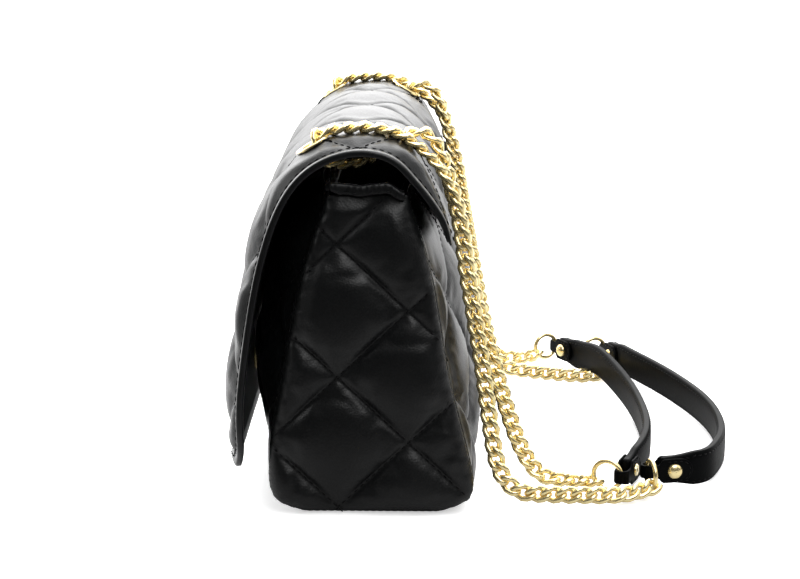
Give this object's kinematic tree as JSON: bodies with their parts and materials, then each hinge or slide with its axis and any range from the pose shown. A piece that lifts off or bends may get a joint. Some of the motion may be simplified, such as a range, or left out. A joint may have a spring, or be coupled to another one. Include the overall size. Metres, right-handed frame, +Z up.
{
  "type": "chain shoulder bag",
  "caption": "Quilted black leather flap bag on a gold curb chain that runs through eyelets in the flap, with leather shoulder pads lying behind it.",
  "frame": {"origin": "middle of the flat base, on the surface that the bag stands on", "axes": "+X along the bag's width, +Y towards the back where the chains lie, +Z up"},
  "size_m": [0.2791, 0.2384, 0.1785],
  "materials": {
    "black_leather": "smooth, semi-matte, padded and quilted",
    "lining_fabric": "plain weave",
    "board": "plain board",
    "gold_metal": "polished pale gold plating"
  },
  "bodies": {
    "bag": {"front_panel": "black_leather", "back_panel": "black_leather", "base_panel": "black_leather", "base_board": "board", "lining": "lining_fabric", "right_gusset": "black_leather", "left_gusset": "black_leather", "right_gusset_hem": "black_leather", "left_gusset_hem": "black_leather", "front_hem": "black_leather", "snap_socket": "gold_metal", "inner_pad": "black_leather", "inner_pad_backing": "black_leather", "outer_pad": "black_leather", "outer_pad_backing": "black_leather", "rivets": "gold_metal", "right_inner_tab": "black_leather", "right_outer_tab": "black_leather", "left_inner_tab": "black_leather", "left_outer_tab": "black_leather", "right_outer_chain": "gold_metal", "right_inner_chain": "gold_metal", "left_inner_chain": "gold_metal", "left_outer_chain": "gold_metal"},
    "flap": {"flap_outer": "black_leather", "flap_stiffener": "board", "flap_lining": "lining_fabric", "snap_stud": "gold_metal", "front_right_eyelet": "gold_metal", "front_left_eyelet": "gold_metal", "back_right_eyelet": "gold_metal", "back_left_eyelet": "gold_metal", "front_right_washer": "gold_metal", "front_left_washer": "gold_metal", "back_right_washer": "gold_metal", "back_left_washer": "gold_metal", "right_top_chain": "gold_metal", "left_top_chain": "gold_metal"},
    "right_inner_ring_body": {"right_inner_ring": "gold_metal"},
    "right_outer_ring_body": {"right_outer_ring": "gold_metal"},
    "left_inner_ring_body": {"left_inner_ring": "gold_metal"},
    "left_outer_ring_body": {"left_outer_ring": "gold_metal"}
  },
  "joints": [
    {"name": "flap_hinge", "type": "hinge", "parent": "bag", "child": "flap", "pos_m": [0, 0.04, 0.122], "axis": [-1, 0, 0], "range_deg": [0, 120], "deforming": ["right_outer_chain", "right_inner_chain", "left_inner_chain", "left_outer_chain"]},
    {"name": "right_inner_ring_spin", "type": "hinge", "parent": "bag", "child": "right_inner_ring_body", "pos_m": [0.09237, 0.10851, 0.00895], "axis": [-0.9363, 0.3511, 0], "continuous": true},
    {"name": "right_outer_ring_spin", "type": "hinge", "parent": "bag", "child": "right_outer_ring_body", "pos_m": [0.09165, 0.12877, 0.00895], "axis": [-0.2251, 0.9743, 0], "continuous": true},
    {"name": "left_inner_ring_spin", "type": "hinge", "parent": "bag", "child": "left_inner_ring_body", "pos_m": [-0.14464, 0.09224, 0.01195], "axis": [0.89, 0.456, 0], "continuous": true},
    {"name": "left_outer_ring_spin", "type": "hinge", "parent": "bag", "child": "left_outer_ring_body", "pos_m": [-0.14844, 0.12049, 0.00895], "axis": [0.9404, 0.3401, 0], "continuous": true}
  ]
}
